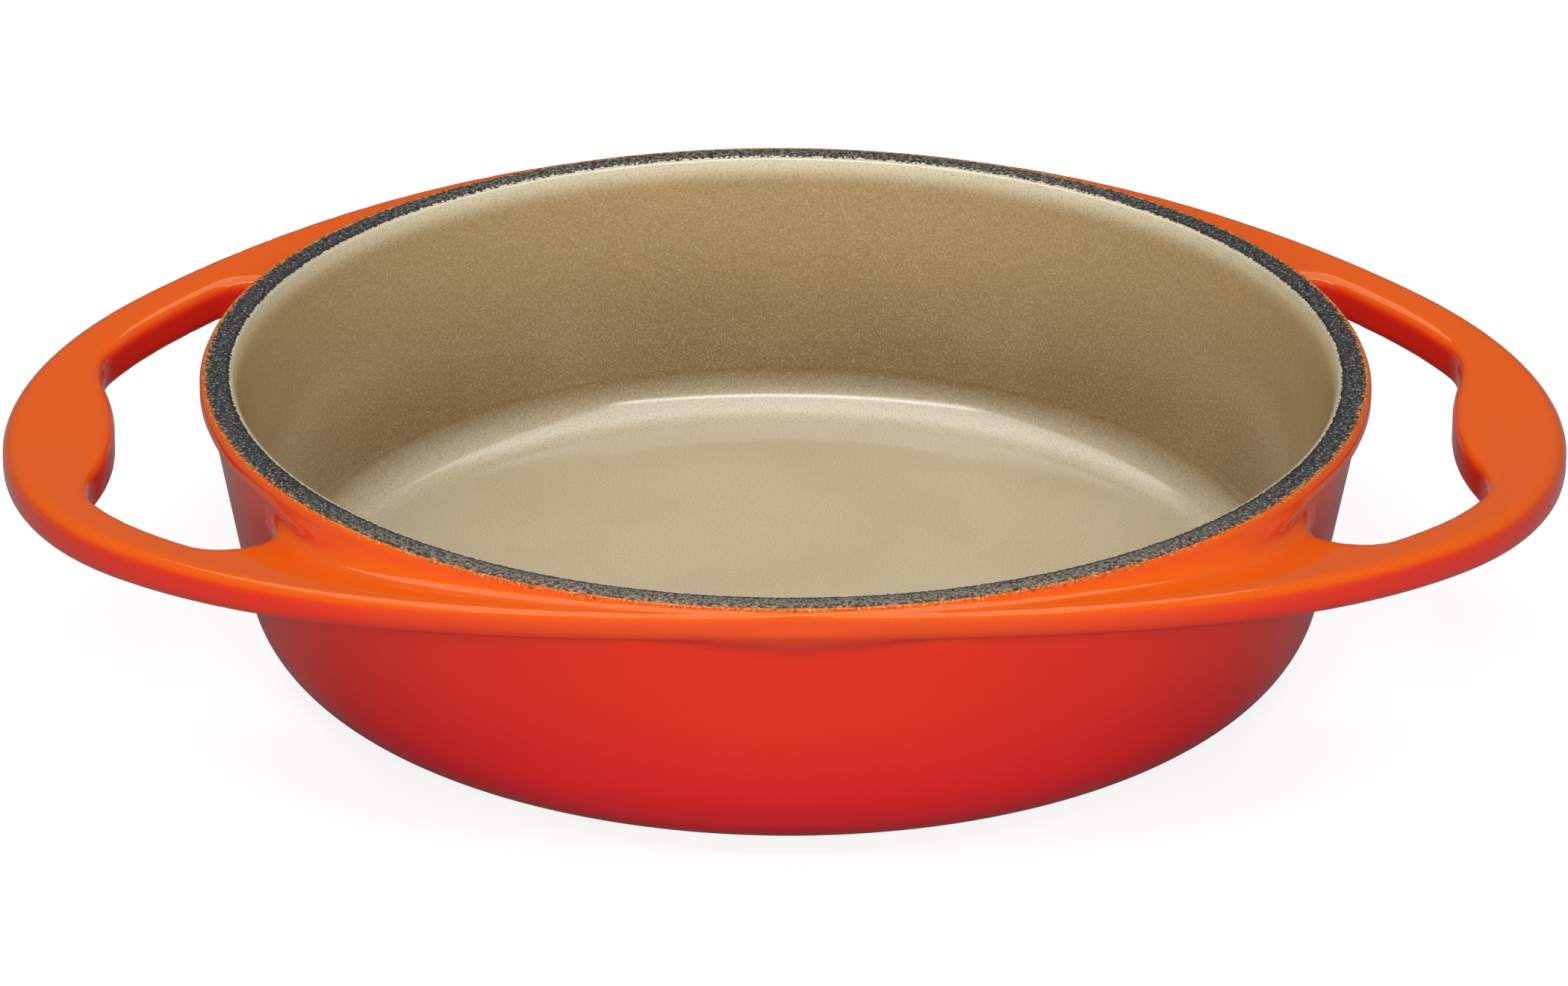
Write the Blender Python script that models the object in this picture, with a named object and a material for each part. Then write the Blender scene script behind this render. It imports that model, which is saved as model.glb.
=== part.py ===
"""A round enamelled cast-iron baking dish with a loop handle at each side, standing on its base at the origin.

X runs through both handles, Y from front to back and Z up. Every size is in metres and is measured on the
finished enamel. The iron lies one coat and one bond gap below it.
"""

import math

import bmesh
import bpy
from mathutils import Matrix

# Bowl
DISH_HEIGHT = 0.0625
RIM_OUTER_RADIUS = 0.1250
RIM_WIDTH = 0.0052
FLOOR_THICKNESS = 0.0050
OUTER_DRAFT = math.radians(10.5)
INNER_DRAFT = math.radians(9.5)
OUTER_CORNER_RADIUS = 0.0180
INNER_CORNER_RADIUS = 0.0120
LIP_RADIUS = 0.0012

# Raised band that strengthens the rim
BAND_STANDOUT = 0.0014
BAND_HEIGHT = 0.0050

# Foot under the base
FOOT_WIDTH = 0.0120
FOOT_HEIGHT = 0.0010
FOOT_SLOPE_WIDTH = 0.0040

# Flange and handles, one plate with an oval outline
HANDLE_REACH = 0.0442
TIP_RADIUS = 0.1013
SIDE_CENTRE_X = 0.0099
FLANGE_LAP = 0.0020
PLATE_THICKNESS = 0.0072
HANDLE_THICKENING = 0.0023
PLATE_TOP_DROP = 0.0005
HANDLE_DROOP = 0.0131
DROOP_POWER = 2.4
PLATE_EDGE_RADIUS = 0.0034
HOLE_EDGE_RADIUS = 0.0032
HOLE_EDGE_TURN = math.radians(80)
FLARE = 0.0040
TOP_FILLET = 0.0050
FILLET_GROWTH = math.radians(12)
FILLET_KNEE = 0.3
PLATE_ROOT = 0.0080

# Finger hole in each handle
BAR_WIDTH = 0.0120
GRIP_WIDTH = 0.0240
GRIP_BULGE_RADIUS = 0.0950
HOLE_CORNER_RADIUS = 0.0050
HOLE_END_RADIUS = 0.0105
HOLE_END_DROOP = 0.0080
HOLE_RUN_IN = math.radians(3)

# Enamel
COAT = 0.0005
BOND_GAP = 0.0003
SEAM_GAP = 0.0003
BASE_SEAM_REACH = 0.0026

# Extra length of a cutter past what it cuts
CUT_CLEARANCE = 0.0050

# Least room left between the plate's root and its rounded edge, and beside the widest rounding
EDGE_CLEARANCE = 0.0002

# How finely the curves are divided
TURN_STEPS = 60
ROUNDING_STEPS = 2
CORNER_STEPS = 4
BULGE_STEPS = 3
HOLE_CORNER_STEPS = 3
TIP_STEPS = 4
BAR_STEPS = 3
HOLE_END_STEPS = 5
BOWL_SIDE_STEPS = 3
OUTLINE_TURN = math.radians(6)
EDGE_STEPS = 2
HOLE_EDGE_STEPS = 2

# Worked out from the sizes above
IRON_INSET = COAT + BOND_GAP
RIM_INNER_RADIUS = RIM_OUTER_RADIUS - RIM_WIDTH
BAND_RADIUS = RIM_OUTER_RADIUS + BAND_STANDOUT
PLATE_MIDDLE = DISH_HEIGHT - PLATE_TOP_DROP - PLATE_THICKNESS / 2
HOLE_END_HEIGHT = PLATE_MIDDLE - HOLE_END_DROOP
ROOT_RADIUS = BAND_RADIUS - PLATE_ROOT
HANDLE_TIP = RIM_OUTER_RADIUS + HANDLE_REACH
TIP_CENTRE = (HANDLE_TIP - TIP_RADIUS, 0.0)
FLANGE_FRONT = RIM_OUTER_RADIUS + FLANGE_LAP
OUTER_CORNER_CENTRE = (
    RIM_OUTER_RADIUS
    - (DISH_HEIGHT - OUTER_CORNER_RADIUS) * math.tan(OUTER_DRAFT)
    - OUTER_CORNER_RADIUS / math.cos(OUTER_DRAFT)
)
INNER_CORNER_HEIGHT = FLOOR_THICKNESS + INNER_CORNER_RADIUS
INNER_CORNER_CENTRE = (
    RIM_INNER_RADIUS
    - LIP_RADIUS
    - (DISH_HEIGHT - LIP_RADIUS - INNER_CORNER_HEIGHT) * math.tan(INNER_DRAFT)
    - INNER_CORNER_RADIUS / math.cos(INNER_DRAFT)
)
BASE_SEAM_RADIUS = OUTER_CORNER_CENTRE + BASE_SEAM_REACH


def circles_meet(centre_a, radius_a, centre_b, radius_b):
    """The point with the larger Y where two circles cross."""
    ax, ay = centre_a
    bx, by = centre_b
    apart = math.hypot(bx - ax, by - ay)
    along = (radius_a**2 - radius_b**2 + apart**2) / (2 * apart)
    across = math.sqrt(radius_a**2 - along**2)
    ux, uy = (bx - ax) / apart, (by - ay) / apart
    left = (ax + along * ux - across * uy, ay + along * uy + across * ux)
    right = (ax + along * ux + across * uy, ay + along * uy - across * ux)
    return max(left, right, key=lambda point: point[1])


def side_centre(centre_x, reach_y):
    """Centre of the arc that passes (0, reach_y) and runs smoothly into the tip arc, on the line X = centre_x."""
    away = (TIP_CENTRE[0] - centre_x) ** 2
    excess = centre_x**2 + reach_y**2 - TIP_RADIUS**2 - away
    squared = 4 * (reach_y**2 - TIP_RADIUS**2)
    linear = -4 * reach_y * excess
    constant = excess**2 - 4 * TIP_RADIUS**2 * away
    return (centre_x, (-linear - math.sqrt(linear**2 - 4 * squared * constant)) / (2 * squared))


def heading(start, end):
    """Angle of the line from start to end, from the X axis."""
    return math.atan2(end[1] - start[1], end[0] - start[0])


def on_circle(centre, radius, angle):
    return (centre[0] + radius * math.cos(angle), centre[1] + radius * math.sin(angle))


def spread(first, last, steps):
    """Evenly spaced values from first to last, both included."""
    return [first + (last - first) * step / steps for step in range(steps + 1)]


def arc(centre, radius, first, last, steps):
    return [on_circle(centre, radius, angle) for angle in spread(first, last, steps)]


# Plan of the plate: where the tip arc runs into the side arc, and the rounded corners of the finger hole
SIDE_CENTRE = side_centre(SIDE_CENTRE_X, FLANGE_FRONT)
SIDE_RADIUS = TIP_RADIUS + math.dist(SIDE_CENTRE, TIP_CENTRE)
ARC_CHANGE = heading(SIDE_CENTRE, TIP_CENTRE)
BULGE_CENTRE = (HANDLE_TIP - GRIP_WIDTH + GRIP_BULGE_RADIUS, 0.0)
HOLE_CORNER_CENTRE = circles_meet(
    BULGE_CENTRE,
    GRIP_BULGE_RADIUS + HOLE_CORNER_RADIUS,
    TIP_CENTRE,
    TIP_RADIUS - BAR_WIDTH - HOLE_CORNER_RADIUS,
)
WALL_BY_HOLE = RIM_OUTER_RADIUS - (DISH_HEIGHT - HOLE_END_HEIGHT) * math.tan(OUTER_DRAFT)


def hole_end(centre, radius):
    """Centre of the finger hole's rounded end where the bar lies on this arc, and its direction from the arc's."""
    inside_bar = radius - BAR_WIDTH - HOLE_END_RADIUS
    middle = circles_meet(centre, inside_bar, (0.0, 0.0), WALL_BY_HOLE + HOLE_END_RADIUS)
    return middle, heading(centre, middle)


HOLE_END_CENTRE, HOLE_END_NORMAL = hole_end(SIDE_CENTRE, SIDE_RADIUS)
if HOLE_END_NORMAL < ARC_CHANGE:
    HOLE_END_CENTRE, HOLE_END_NORMAL = hole_end(TIP_CENTRE, TIP_RADIUS)
HOLE_END_ANGLE = heading((0.0, 0.0), HOLE_END_CENTRE)


def outline(normal_angle, inset):
    """Point on the plate's outline where its outward normal has this angle, moved into the plate by inset."""
    if normal_angle < ARC_CHANGE:
        return on_circle(TIP_CENTRE, TIP_RADIUS - inset, normal_angle)
    return on_circle(SIDE_CENTRE, SIDE_RADIUS - inset, normal_angle)


def hole_loop(offset):
    """Edge of one finger hole in plan, moved into the plate and the bowl by offset."""
    bulge_turn = -heading(BULGE_CENTRE, HOLE_CORNER_CENTRE)
    corner_turn = heading(TIP_CENTRE, HOLE_CORNER_CENTRE)
    loop = arc(BULGE_CENTRE, GRIP_BULGE_RADIUS - offset, math.pi, -bulge_turn, BULGE_STEPS)[:-1]
    loop += arc(
        HOLE_CORNER_CENTRE,
        HOLE_CORNER_RADIUS + offset,
        -bulge_turn - math.pi,
        corner_turn,
        HOLE_CORNER_STEPS,
    )
    tip_end = min(ARC_CHANGE, HOLE_END_NORMAL)
    loop += arc(TIP_CENTRE, TIP_RADIUS - BAR_WIDTH + offset, corner_turn, tip_end, TIP_STEPS)[1:]
    if HOLE_END_NORMAL > ARC_CHANGE:
        loop += arc(SIDE_CENTRE, SIDE_RADIUS - BAR_WIDTH + offset, ARC_CHANGE, HOLE_END_NORMAL, BAR_STEPS)[1:]
    last_turn = HOLE_END_ANGLE + math.pi
    loop += arc(HOLE_END_CENTRE, HOLE_END_RADIUS + offset, HOLE_END_NORMAL, last_turn, HOLE_END_STEPS)[1:]
    inside_bowl = ROOT_RADIUS - 5 * EDGE_CLEARANCE - offset
    loop += arc((0.0, 0.0), inside_bowl, HOLE_END_ANGLE - HOLE_RUN_IN, 0.0, BOWL_SIDE_STEPS)
    return loop + [(x, -y) for x, y in reversed(loop[1:-1])]


def plate_top(x, y):
    """Height of the plate's top: level at the front and back, falling towards the tips of the handles."""
    return DISH_HEIGHT - PLATE_TOP_DROP - HANDLE_DROOP * abs(x / math.hypot(x, y)) ** DROOP_POWER


def plate_under(x, y):
    """Height of the plate's underside, which falls a little more, so that the handles are thicker."""
    return plate_top(x, y) - PLATE_THICKNESS - HANDLE_THICKENING * abs(x / math.hypot(x, y)) ** DROOP_POWER


def rounded_edge(radius, inset, first, last, steps):
    """Steps back from the edge, and heights above the level one radius inside the plate's face."""
    full = radius - inset
    return [(full - full * math.cos(turn), full * math.sin(turn)) for turn in spread(first, last, steps)]


def plate_section(normal_angle, inset):
    """Closed section of the plate without its holes, with a root inside the bowl and a fillet to the band."""
    edge = []
    rounding = min(PLATE_EDGE_RADIUS, PLATE_THICKNESS / 2 - EDGE_CLEARANCE)
    for back, height in rounded_edge(rounding, inset, math.pi / 2, 0.0, EDGE_STEPS):
        x, y = outline(normal_angle, inset + back)
        edge.append((x, y, plate_top(x, y) - rounding + height))
    for back, height in rounded_edge(rounding, inset, 0.0, -math.pi / 2, EDGE_STEPS):
        x, y = outline(normal_angle, inset + back)
        edge.append((x, y, plate_under(x, y) + rounding + height))
    angle = heading((0.0, 0.0), outline(normal_angle, 0.0))
    reach = math.hypot(*edge[0][:2])
    root = min(ROOT_RADIUS, reach - 4 * EDGE_CLEARANCE)
    band = min(BAND_RADIUS - inset, reach - 3 * EDGE_CLEARANCE)
    flat = plate_top(*on_circle((0.0, 0.0), band, angle)) - inset
    under = plate_under(*on_circle((0.0, 0.0), band, angle)) + inset
    grown = min(max((angle - HOLE_END_ANGLE) / FILLET_GROWTH, 0.0), 1.0)
    fillet = grown * max(min(TOP_FILLET, DISH_HEIGHT - BAND_STANDOUT - inset - flat), 0.0)
    foot = min(band + max(fillet, 2 * EDGE_CLEARANCE), reach - EDGE_CLEARANCE)
    knee = band + FILLET_KNEE * (foot - band)
    knee_height = flat + (1 - FILLET_KNEE) ** 2 * fillet
    rows = [(root, flat + fillet), (knee, knee_height), (foot, flat)]
    top = [(*on_circle((0.0, 0.0), radius, angle), height) for radius, height in rows]
    return [*top, *edge, (*on_circle((0.0, 0.0), root, angle), under)]


def finish(name, bm):
    bmesh.ops.recalc_face_normals(bm, faces=bm.faces)
    mesh = bpy.data.meshes.new(name)
    bm.to_mesh(mesh)
    bm.free()
    piece = bpy.data.objects.new(name, mesh)
    bpy.context.collection.objects.link(piece)
    return piece


def bake(piece):
    """Turn the piece's modifiers into plain mesh."""
    depsgraph = bpy.context.evaluated_depsgraph_get()
    mesh = bpy.data.meshes.new_from_object(piece.evaluated_get(depsgraph))
    piece.modifiers.clear()
    piece.data = mesh
    return piece


def bridge(bm, rings):
    """Faces between closed rings of points, one ring after the other."""
    made = [[bm.verts.new(point) for point in ring] for ring in rings]
    for first, second in zip(made, made[1:]):
        for row in range(len(first)):
            after = (row + 1) % len(first)
            bm.faces.new((first[row], first[after], second[after], second[row]))
    return made


def full_plate(inset):
    """The flange and both handles as one closed ring, before the finger holes are cut."""
    bm = bmesh.new()
    turns = spread(0.0, ARC_CHANGE, math.ceil(ARC_CHANGE / OUTLINE_TURN))
    turns += spread(ARC_CHANGE, math.pi / 2, math.ceil((math.pi / 2 - ARC_CHANGE) / OUTLINE_TURN))[1:]
    sections = [plate_section(turn, inset) for turn in turns]
    sections.append([(0.0, y, z) for _, y, z in sections[-1]])
    bridge(bm, sections)
    piece = finish("plate", bm)
    mirror = piece.modifiers.new("four quarters", "MIRROR")
    mirror.use_axis = (True, True, False)
    mirror.merge_threshold = 0.00001
    return bake(piece)


def hole_cutter(side, inset):
    """What is cut from the plate for one finger hole, flared above and below to round the hole's edge."""
    rows = rounded_edge(HOLE_EDGE_RADIUS, inset, HOLE_EDGE_TURN, 0.0, HOLE_EDGE_STEPS)
    back, height = rows[0]
    rows.insert(0, (back + FLARE, height + FLARE / math.tan(HOLE_EDGE_TURN)))
    mouth = hole_loop(inset + rows[0][0])
    high = DISH_HEIGHT + PLATE_THICKNESS / 2
    low = DISH_HEIGHT - PLATE_TOP_DROP - HANDLE_DROOP - HANDLE_THICKENING - 1.5 * PLATE_THICKNESS
    rings = [[(side * x, y, high) for x, y in mouth]]
    for back, height in rows:
        loop = hole_loop(inset + back)
        rings.append([(side * x, y, plate_top(x, y) - HOLE_EDGE_RADIUS + height) for x, y in loop])
    for back, height in reversed(rows):
        loop = hole_loop(inset + back)
        rings.append([(side * x, y, plate_under(x, y) + HOLE_EDGE_RADIUS - height) for x, y in loop])
    rings.append([(side * x, y, low) for x, y in mouth])
    bm = bmesh.new()
    made = bridge(bm, rings)
    bm.faces.new(made[0])
    bm.faces.new(made[-1])
    return finish("hole", bm)


def plate(inset):
    piece = full_plate(inset)
    for side in (1, -1):
        combine(piece, hole_cutter(side, inset), "DIFFERENCE")
    return piece


def turned(name, profile, closed=False):
    """A solid turned about Z from points given as radius and height."""
    bm = bmesh.new()
    points = [bm.verts.new((radius, 0.0, height)) for radius, height in profile]
    pairs = list(zip(points, points[1:]))
    if closed:
        pairs.append((points[-1], points[0]))
    edges = [bm.edges.new(pair) for pair in pairs if pair[0].co.x > 0 or pair[1].co.x > 0]
    bmesh.ops.spin(
        bm,
        geom=points + edges,
        cent=(0.0, 0.0, 0.0),
        axis=(0.0, 0.0, 1.0),
        angle=2 * math.pi,
        steps=TURN_STEPS,
        use_merge=True,
    )
    bmesh.ops.remove_doubles(bm, verts=bm.verts, dist=0.000001)
    return finish(name, bm)


def combine(piece, other, operation):
    """Join the other solid to the piece or cut it out, and remove it."""
    modifier = piece.modifiers.new(operation.lower(), "BOOLEAN")
    modifier.operation = operation
    modifier.solver = "EXACT"
    modifier.object = other
    bake(piece)
    bpy.data.objects.remove(other)
    return piece


def side_profile(inset):
    """Outside of the bowl from the edge of the rim down to the foot."""
    radius = BAND_STANDOUT - inset
    upper = arc((RIM_OUTER_RADIUS, DISH_HEIGHT - BAND_STANDOUT), radius, math.pi / 2, 0.0, ROUNDING_STEPS)
    low = DISH_HEIGHT - BAND_HEIGHT
    lower = arc((RIM_OUTER_RADIUS, low + BAND_STANDOUT), radius, 0.0, -math.pi / 2, ROUNDING_STEPS)
    wall_top = low + inset
    wall = RIM_OUTER_RADIUS - (DISH_HEIGHT - wall_top) * math.tan(OUTER_DRAFT) - inset / math.cos(OUTER_DRAFT)
    corner = arc(
        (OUTER_CORNER_CENTRE, OUTER_CORNER_RADIUS),
        OUTER_CORNER_RADIUS - inset,
        -OUTER_DRAFT,
        -math.pi / 2,
        CORNER_STEPS,
    )
    return [*upper, *lower, (wall, wall_top), *corner]


def underside_profile(inset):
    """Underside from the foot's inner edge to the axis."""
    foot_inner = OUTER_CORNER_CENTRE - FOOT_WIDTH
    slope_end = foot_inner - FOOT_SLOPE_WIDTH
    return [(foot_inner, inset), (slope_end, FOOT_HEIGHT + inset), (0.0, FOOT_HEIGHT + inset)]


def cavity_profile(inset, seam=0.0):
    """Inside of the bowl from a seam beside the rim down to the middle of the floor."""
    lip = arc(
        (RIM_INNER_RADIUS, DISH_HEIGHT - LIP_RADIUS),
        LIP_RADIUS - inset,
        math.acos(-seam / (LIP_RADIUS - inset)),
        math.pi + INNER_DRAFT,
        ROUNDING_STEPS,
    )
    corner = arc(
        (INNER_CORNER_CENTRE, INNER_CORNER_HEIGHT),
        INNER_CORNER_RADIUS + inset,
        -INNER_DRAFT,
        -math.pi / 2,
        CORNER_STEPS,
    )
    return [*lip, *corner, (0.0, FLOOR_THICKNESS - inset)]


def outer_form(inset):
    """Everything inside the outer surface, with the bowl still full."""
    profile = [(0.0, DISH_HEIGHT - inset), *side_profile(inset), *underside_profile(inset)]
    return combine(turned("outer form", profile), plate(inset), "UNION")


def cylinder(radius, low, high):
    """A cutter with its flats at this radius and its corners between those of the bowl."""
    corner = radius / math.cos(math.pi / TURN_STEPS)
    cutter = turned("cutter", [(0.0, high), (corner, high), (corner, low), (0.0, low)])
    cutter.data.transform(Matrix.Rotation(math.pi / TURN_STEPS, 4, "Z"))
    return cutter


def material(name, colour, roughness, metallic=0.0):
    made = bpy.data.materials.new(name)
    made.use_nodes = True
    shader = made.node_tree.nodes["Principled BSDF"]
    shader.inputs["Base Color"].default_value = (*colour, 1.0)
    shader.inputs["Roughness"].default_value = roughness
    shader.inputs["Metallic"].default_value = metallic
    made.diffuse_color = (*colour, 1.0)
    return made


def name_piece(piece, name, surface):
    piece.name = name
    piece.data.name = name
    piece.data.materials.clear()
    piece.data.materials.append(surface)
    piece.data.shade_smooth()
    piece.data.set_sharp_from_angle(angle=math.radians(30))


def iron_casting():
    opening = DISH_HEIGHT + CUT_CLEARANCE
    profile = [(0.0, opening), (RIM_INNER_RADIUS, opening), *cavity_profile(IRON_INSET)]
    iron = combine(outer_form(IRON_INSET), turned("cavity", profile), "DIFFERENCE")
    name_piece(iron, "iron_casting", material("dark cast iron", (0.060, 0.055, 0.052), 0.75, 0.8))


def exterior_enamel():
    enamel = combine(outer_form(0.0), outer_form(COAT), "DIFFERENCE")
    rim_seam = RIM_OUTER_RADIUS + SEAM_GAP
    top = cylinder(rim_seam, DISH_HEIGHT - BAND_STANDOUT, DISH_HEIGHT + CUT_CLEARANCE)
    combine(enamel, top, "DIFFERENCE")
    base = cylinder(BASE_SEAM_RADIUS + SEAM_GAP, -CUT_CLEARANCE, OUTER_CORNER_RADIUS / 2)
    combine(enamel, base, "DIFFERENCE")
    name_piece(enamel, "exterior_enamel", material("orange gloss enamel", (0.730, 0.055, 0.022), 0.12))


def interior_enamel():
    profile = [*cavity_profile(0.0, SEAM_GAP), *reversed(cavity_profile(COAT, SEAM_GAP))]
    enamel = turned("interior", profile, closed=True)
    name_piece(enamel, "interior_enamel", material("sand satin enamel", (0.500, 0.415, 0.275), 0.30))


def rim_ground_coat():
    profile = [
        (RIM_INNER_RADIUS, DISH_HEIGHT),
        (RIM_OUTER_RADIUS, DISH_HEIGHT),
        (RIM_OUTER_RADIUS, DISH_HEIGHT - COAT),
        (RIM_INNER_RADIUS, DISH_HEIGHT - COAT),
    ]
    rim = turned("rim", profile, closed=True)
    name_piece(rim, "rim_ground_coat", material("dark ground enamel", (0.150, 0.130, 0.110), 0.50))


def base_enamel():
    full = [(0.0, OUTER_CORNER_RADIUS), *side_profile(0.0)[-CORNER_STEPS:], *underside_profile(0.0)]
    core = [(0.0, OUTER_CORNER_RADIUS), *side_profile(COAT)[-CORNER_STEPS:], *underside_profile(COAT)]
    base = combine(turned("base", full), turned("core", core), "DIFFERENCE")
    outside = [
        (BASE_SEAM_RADIUS, OUTER_CORNER_RADIUS + CUT_CLEARANCE),
        (RIM_OUTER_RADIUS, OUTER_CORNER_RADIUS + CUT_CLEARANCE),
        (RIM_OUTER_RADIUS, -CUT_CLEARANCE),
        (BASE_SEAM_RADIUS, -CUT_CLEARANCE),
    ]
    combine(base, turned("outside", outside, closed=True), "DIFFERENCE")
    name_piece(base, "base_enamel", material("dark base enamel", (0.055, 0.042, 0.038), 0.35))


for old in list(bpy.data.objects):
    bpy.data.objects.remove(old)
iron_casting()
exterior_enamel()
interior_enamel()
rim_ground_coat()
base_enamel()
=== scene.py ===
"""Studio picture of the round enamelled baking dish: fine meshes, enamel, light and camera.

The dish stands on its base at the origin, X through both handles, Y from front to back, Z up, in metres.
"""

import math

import bpy
import numpy as np
from mathutils import Matrix, Vector


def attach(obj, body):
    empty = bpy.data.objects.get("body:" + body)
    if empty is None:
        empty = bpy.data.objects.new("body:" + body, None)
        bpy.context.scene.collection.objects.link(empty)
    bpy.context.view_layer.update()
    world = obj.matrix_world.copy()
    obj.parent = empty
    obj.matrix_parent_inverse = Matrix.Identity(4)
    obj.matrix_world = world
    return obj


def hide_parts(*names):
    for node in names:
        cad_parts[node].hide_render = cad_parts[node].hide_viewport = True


MILLIMETRE = 0.001

# Bowl
DISH_HEIGHT = 0.0625
RIM_OUTER_RADIUS = 0.1250
RIM_WIDTH = 0.0052
FLOOR_THICKNESS = 0.0050
OUTER_DRAFT = math.radians(10.5)
WALL_FULLNESS = 0.0004
INNER_DRAFT = math.radians(9.5)
OUTER_CORNER_RADIUS = 0.0180
INNER_CORNER_RADIUS = 0.0120
BAND_STANDOUT = 0.0014
BAND_HEIGHT = 0.0050
BAND_FILLET = 0.0008
FRONT_BAND_STANDOUT = 0.0006
FRONT_BAND_ROUND = 0.0004
BAND_GROWTH_START = 0.45
BAND_GROWTH_RUN = 0.30
FOOT_WIDTH = 0.0120
FOOT_HEIGHT = 0.0010
FOOT_SLOPE_WIDTH = 0.0040
COAT = 0.0005
BASE_SEAM_REACH = 0.0026

# Soft run of the inside wall out to the rim
FLARE_RADIUS = 0.0100
FLARE_TURN = math.radians(18)
LIP_RADIUS = 0.0008

# Bare band on top of the rim
RIM_CROWN_SLOPE = math.radians(12)
RIM_OVERLAP = 0.0002
RIM_EDGE_DROP = 0.00004
GRAIN_HEIGHT = 0.00016
COARSE_GRAINS = 900.0
FINE_GRAINS = 2300.0
FINE_GRAIN_SHARE = 0.5

# Flange and handles
HANDLE_REACH = 0.0442
TIP_RADIUS = 0.1013
SIDE_CENTRE_X = 0.0099
FLANGE_LAP = 0.0020
PLATE_THICKNESS = 0.0067
HANDLE_THICKENING = 0.0028
PLATE_TOP_DROP = 0.0010
HANDLE_DROOP = 0.0126
DROOP_POWER = 2.4
FRONT_TOP_ROUND = 0.0010
TIP_TOP_ROUND = 0.0036
FRONT_EDGE_LEAN = math.radians(6)
PLATE_UNDER_ROUND = 0.0034
HOLE_TOP_ROUND = 0.0030
HOLE_UNDER_ROUND = 0.0018
TOP_FILLET = 0.0070
LEAST_TOP_FILLET = 0.0003
UNDER_FILLET = 0.0060
LEAST_UNDER_FILLET = 0.0008
UNDER_FILLET_FADE = 1.2
BAR_WIDTH = 0.0120
GRIP_WIDTH = 0.0240
GRIP_BULGE_RADIUS = 0.0950
HOLE_CORNER_BLEND = 0.0060
HOLE_END_RADIUS = 0.0105
HOLE_END_DROOP = 0.0080

# Fineness of the meshes
SKIN_TURNS = 372
COAT_TURNS = 360
RIM_TURNS = 2400
FLOOR_ROWS = 20
CORNER_ROWS = 20
WALL_ROWS = 16
FLARE_ROWS = 8
LIP_ROWS = 6
CROWN_ROWS = 24
UNDER_CORNER_ROWS = 4
FOOT_ROWS = 3
RECESS_ROWS = 8
RADIAL_STEP = 0.00105
UPPER_STEP = 0.00080
WALL_STEP = 0.0024
LOW_STEP = 0.0010
MARGIN_STEPS = 3
LOW_MARGIN_STEPS = 1.3
SLOPE_STEP = 0.02 * MILLIMETRE
MERGE_DISTANCE = 0.001 * MILLIMETRE
SETTLING_ROUNDS = 4
LEAST_RADIUS = 1e-9
LEAST_SLOPE = 0.1

# Light, floor and camera
WHITE = (1.0, 1.0, 1.0, 1.0)
WORLD_LEVEL = 0.15
FLOOR_HALF = 3.0
FLOOR_DROP = 0.05 * MILLIMETRE
FLOOR_COLOUR = (0.30, 0.30, 0.30)
SHADOW_SHARE = (0.25, 0.25, 0.25)
WHITE_SHARE = 0.84
DISH_MIDDLE = (0.0, 0.0, 0.03)
CAMERA_PLACE = Vector((-0.0441, -1.8366, 0.8530))
CAMERA_AIM = Vector((-0.0002, 0.0, 0.0323))
CAMERA_SENSOR = 36.0
CAMERA_LENS = 212.6
CAMERA_ROLL = 0.0055

# Worked out from the sizes above
RIM_INNER_RADIUS = RIM_OUTER_RADIUS - RIM_WIDTH
BAND_RADIUS = RIM_OUTER_RADIUS + BAND_STANDOUT
OUTER_CORNER_CENTRE = (
    RIM_OUTER_RADIUS
    + WALL_FULLNESS
    - (DISH_HEIGHT - OUTER_CORNER_RADIUS) * math.tan(OUTER_DRAFT)
    - OUTER_CORNER_RADIUS / math.cos(OUTER_DRAFT)
)
BASE_SEAM_RADIUS = OUTER_CORNER_CENTRE + BASE_SEAM_REACH
HANDLE_TIP = RIM_OUTER_RADIUS + HANDLE_REACH
PLATE_MIDDLE = DISH_HEIGHT - PLATE_TOP_DROP - PLATE_THICKNESS / 2
TIP_CENTRE_X = HANDLE_TIP - TIP_RADIUS
BULGE_CENTRE_X = HANDLE_TIP - GRIP_WIDTH + GRIP_BULGE_RADIUS
TIP_LOW = DISH_HEIGHT - PLATE_TOP_DROP - HANDLE_DROOP - PLATE_THICKNESS - HANDLE_THICKENING
FINE_GRID_LOW = TIP_LOW - PLATE_THICKNESS / 2


def side_centre_y(reach_y):
    """Y of the centre of the arc that passes (0, reach_y) and runs smoothly into the tip arc."""
    away = (TIP_CENTRE_X - SIDE_CENTRE_X) ** 2
    excess = SIDE_CENTRE_X**2 + reach_y**2 - TIP_RADIUS**2 - away
    squared = 4 * (reach_y**2 - TIP_RADIUS**2)
    linear = -4 * reach_y * excess
    constant = excess**2 - 4 * TIP_RADIUS**2 * away
    return (-linear - math.sqrt(linear**2 - 4 * squared * constant)) / (2 * squared)


SIDE_CENTRE_Y = side_centre_y(RIM_OUTER_RADIUS + FLANGE_LAP)
SIDE_RADIUS = TIP_RADIUS + math.hypot(TIP_CENTRE_X - SIDE_CENTRE_X, SIDE_CENTRE_Y)
ARC_CHANGE = math.atan2(-SIDE_CENTRE_Y, TIP_CENTRE_X - SIDE_CENTRE_X)


def circles_meet(ax, ay, radius_a, bx, by, radius_b):
    """The point with the larger Y where two circles cross."""
    apart = math.hypot(bx - ax, by - ay)
    along = (radius_a**2 - radius_b**2 + apart**2) / (2 * apart)
    across = math.sqrt(radius_a**2 - along**2)
    ux, uy = (bx - ax) / apart, (by - ay) / apart
    points = [
        (ax + along * ux - side * across * uy, ay + along * uy + side * across * ux) for side in (1, -1)
    ]
    return max(points, key=lambda point: point[1])


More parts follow.
